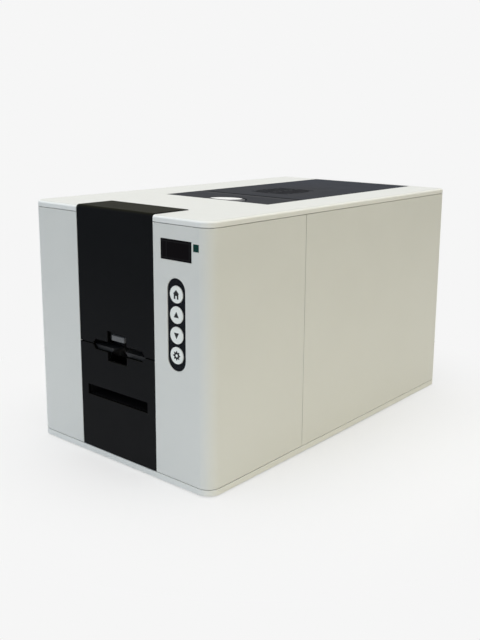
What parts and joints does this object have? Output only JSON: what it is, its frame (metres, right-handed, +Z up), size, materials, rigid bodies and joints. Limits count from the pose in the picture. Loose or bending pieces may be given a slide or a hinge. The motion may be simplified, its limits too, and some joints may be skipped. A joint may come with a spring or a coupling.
{
  "type": "id card printer",
  "caption": "Desk-top card printer: white casing, black front door and panel with a card mouth and exit slot, keypad, display and a hinged dark top door.",
  "frame": {"origin": "centre of the footprint, on the surface that the feet stand on", "axes": "+Z up, -Y out of the front face, +X to the right seen from the front"},
  "size_m": [0.219, 0.376, 0.2258],
  "materials": {
    "white_plastic": "fine-textured moulded casing plastic",
    "cover_plastic": "fine-textured moulded cover plastic",
    "black_plastic": "satin black moulded plastic",
    "lid_plastic": "satin-gloss blue-grey plastic",
    "tab_plastic": "light grey moulded plastic",
    "key_plastic": "off-white key plastic",
    "pad_plastic": "speckled charcoal plastic",
    "window_glass": "dark tinted display window",
    "light_lens": "green lens",
    "foot_rubber": "matt rubber",
    "roller_rubber": "ground rubber",
    "cleaner_rubber": "tacky blue rubber",
    "sheet_steel": "zinc-plated sheet",
    "shaft_steel": "ground steel",
    "bearing_bronze": "sintered bronze",
    "grey_plastic": "dark grey moulded plastic",
    "gear_plastic": "natural gear plastic",
    "motor_case": "black painted motor case",
    "head_metal": "extruded aluminium",
    "bracket_paint": "painted bracket",
    "core_plastic": "white moulded plastic",
    "film": "wound ribbon film",
    "used_film": "wound used film",
    "circuit_board": "green circuit board with parts",
    "belt_rubber": "timing belt"
  },
  "bodies": {
    "casing": {"base_tray": "white_plastic", "rubber_feet": "foot_rubber", "front_shell": "white_plastic", "rear_shell": "white_plastic", "top_cover": "cover_plastic", "lower_panel": "black_plastic", "hinge_pins": "shaft_steel", "display_window": "window_glass", "status_light": "light_lens", "keypad_bezel": "pad_plastic", "panel_board": "circuit_board", "left_side_plate": "sheet_steel", "right_side_plate": "sheet_steel", "tie_bars": "shaft_steel", "card_hopper": "grey_plastic", "shaft_bushes": "bearing_bronze", "drive_belt": "belt_rubber", "drive_motor": "motor_case", "card_guides": "grey_plastic", "exit_chute": "black_plastic", "gear_motors": "sheet_steel", "ribbon_web": "film", "main_board": "circuit_board", "power_supply": "sheet_steel", "power_inlet": "black_plastic", "cooling_fan": "black_plastic", "case_screws": "shaft_steel"},
    "front_door": {"feeder_door": "black_plastic"},
    "latch": {"door_latch": "tab_plastic"},
    "lid_door": {"top_door": "lid_plastic"},
    "key_home": {"home_key": "key_plastic"},
    "key_up": {"up_key": "key_plastic"},
    "key_down": {"down_key": "key_plastic"},
    "key_setup": {"setup_key": "key_plastic"},
    "weight": {"card_weight": "shaft_steel"},
    "pickup": {"pickup_roller": "roller_rubber", "pickup_shaft": "shaft_steel"},
    "mouth_drive": {"mouth_roller": "roller_rubber", "mouth_shaft": "shaft_steel"},
    "feed_drive": {"feed_roller": "roller_rubber", "feed_shaft": "shaft_steel"},
    "main_drive": {"head_roller": "roller_rubber", "head_shaft": "shaft_steel", "reduction_gear": "gear_plastic"},
    "platen_drive": {"platen_roller": "roller_rubber", "platen_shaft": "shaft_steel"},
    "motor_rotor": {"motor_pinion": "shaft_steel"},
    "mouth_pinch": {"mouth_pinch_roller": "shaft_steel"},
    "feed_pinch": {"feed_pinch_roller": "shaft_steel"},
    "cleaner": {"cleaning_roller": "cleaner_rubber"},
    "diverter": {"exit_flap": "grey_plastic"},
    "head": {"print_head": "head_metal", "head_bracket": "bracket_paint"},
    "cam": {"lift_cam": "gear_plastic"},
    "supply_spool": {"supply_core": "core_plastic", "supply_film": "film"},
    "takeup_spool": {"takeup_core": "core_plastic", "takeup_film": "used_film"},
    "rocker": {"power_rocker": "black_plastic"},
    "fan": {"fan_rotor": "black_plastic"}
  },
  "joints": [
    {"name": "front_door_hinge", "type": "hinge", "parent": "casing", "child": "front_door", "pos_m": [0.0005, -0.1485, 0.2226], "axis": [-1, 0, 0], "range_deg": [0, 95]},
    {"name": "latch_slide", "type": "slide", "parent": "front_door", "child": "latch", "axis": [0, 0, 1], "range_m": [0, 0.003], "stiffness_N_per_m": 400},
    {"name": "lid_door_hinge", "type": "hinge", "parent": "casing", "child": "lid_door", "pos_m": [0.0065, 0.1808, 0.222], "axis": [-1, 0, 0], "range_deg": [0, 95]},
    {"name": "home_key_press", "type": "slide", "parent": "casing", "child": "key_home", "axis": [0, 1, 0], "range_m": [0, 0.0005], "stiffness_N_per_m": 800},
    {"name": "up_key_press", "type": "slide", "parent": "casing", "child": "key_up", "axis": [0, 1, 0], "range_m": [0, 0.0005], "stiffness_N_per_m": 800},
    {"name": "down_key_press", "type": "slide", "parent": "casing", "child": "key_down", "axis": [0, 1, 0], "range_m": [0, 0.0005], "stiffness_N_per_m": 800},
    {"name": "setup_key_press", "type": "slide", "parent": "casing", "child": "key_setup", "axis": [0, 1, 0], "range_m": [0, 0.0005], "stiffness_N_per_m": 800},
    {"name": "weight_lift", "type": "slide", "parent": "casing", "child": "weight", "axis": [0, 0, 1], "range_m": [0, 0.05]},
    {"name": "main_drive_spin", "type": "hinge", "parent": "casing", "child": "main_drive", "pos_m": [0.0005, -0.016, 0.0968], "axis": [1, 0, 0], "continuous": true},
    {"name": "mouth_drive_spin", "type": "hinge", "parent": "casing", "child": "mouth_drive", "pos_m": [0.0005, -0.166, 0.0968], "axis": [1, 0, 0], "continuous": true},
    {"name": "feed_drive_spin", "type": "hinge", "parent": "casing", "child": "feed_drive", "pos_m": [0.0005, -0.09, 0.0968], "axis": [1, 0, 0], "continuous": true},
    {"name": "platen_spin", "type": "hinge", "parent": "casing", "child": "platen_drive", "pos_m": [0.0005, 0.027, 0.0968], "axis": [1, 0, 0], "continuous": true},
    {"name": "pickup_spin", "type": "hinge", "parent": "casing", "child": "pickup", "pos_m": [0.0005, -0.118, 0.1158], "axis": [1, 0, 0], "continuous": true},
    {"name": "motor_spin", "type": "hinge", "parent": "casing", "child": "motor_rotor", "pos_m": [0.0005, -0.016, 0.0668], "axis": [1, 0, 0], "continuous": true},
    {"name": "mouth_pinch_spin", "type": "hinge", "parent": "casing", "child": "mouth_pinch", "pos_m": [0.0005, -0.166, 0.1098], "axis": [1, 0, 0], "continuous": true},
    {"name": "feed_pinch_spin", "type": "hinge", "parent": "casing", "child": "feed_pinch", "pos_m": [0.0005, -0.09, 0.1098], "axis": [1, 0, 0], "continuous": true},
    {"name": "cleaner_spin", "type": "hinge", "parent": "casing", "child": "cleaner", "pos_m": [0.0005, -0.016, 0.1098], "axis": [1, 0, 0], "continuous": true},
    {"name": "diverter_tilt", "type": "hinge", "parent": "casing", "child": "diverter", "pos_m": [0.0005, -0.078, 0.0998], "axis": [1, 0, 0], "range_deg": [0, 12]},
    {"name": "head_tilt", "type": "hinge", "parent": "casing", "child": "head", "pos_m": [0.0005, 0.064, 0.1256], "axis": [-1, 0, 0], "range_deg": [0, 4]},
    {"name": "cam_turn", "type": "hinge", "parent": "casing", "child": "cam", "pos_m": [0.0365, 0.006, 0.1256], "axis": [-1, 0, 0], "range_deg": [0, 180]},
    {"name": "supply_spin", "type": "hinge", "parent": "casing", "child": "supply_spool", "pos_m": [0.0005, -0.025, 0.167], "axis": [1, 0, 0], "continuous": true},
    {"name": "takeup_spin", "type": "hinge", "parent": "casing", "child": "takeup_spool", "pos_m": [0.0005, 0.072, 0.167], "axis": [1, 0, 0], "continuous": true},
    {"name": "rocker_tilt", "type": "hinge", "parent": "casing", "child": "rocker", "pos_m": [0.0725, 0.182, 0.061], "axis": [1, 0, 0], "range_deg": [0, 16]},
    {"name": "fan_spin", "type": "hinge", "parent": "casing", "child": "fan", "pos_m": [0.0005, 0.172, 0.15], "axis": [0, 1, 0], "continuous": true}
  ],
  "couplings": [
    {"joint": "mouth_drive_spin", "follows": "main_drive_spin", "ratio": 1},
    {"joint": "feed_drive_spin", "follows": "main_drive_spin", "ratio": 1},
    {"joint": "platen_spin", "follows": "main_drive_spin", "ratio": 1},
    {"joint": "pickup_spin", "follows": "main_drive_spin", "ratio": -1},
    {"joint": "motor_spin", "follows": "main_drive_spin", "ratio": -4},
    {"joint": "mouth_pinch_spin", "follows": "main_drive_spin", "ratio": -1.4},
    {"joint": "feed_pinch_spin", "follows": "main_drive_spin", "ratio": -1.4},
    {"joint": "cleaner_spin", "follows": "main_drive_spin", "ratio": -1.4},
    {"joint": "cam_turn", "follows": "head_tilt", "ratio": 45},
    {"joint": "takeup_spin", "follows": "supply_spin", "ratio": 1.4167}
  ]
}
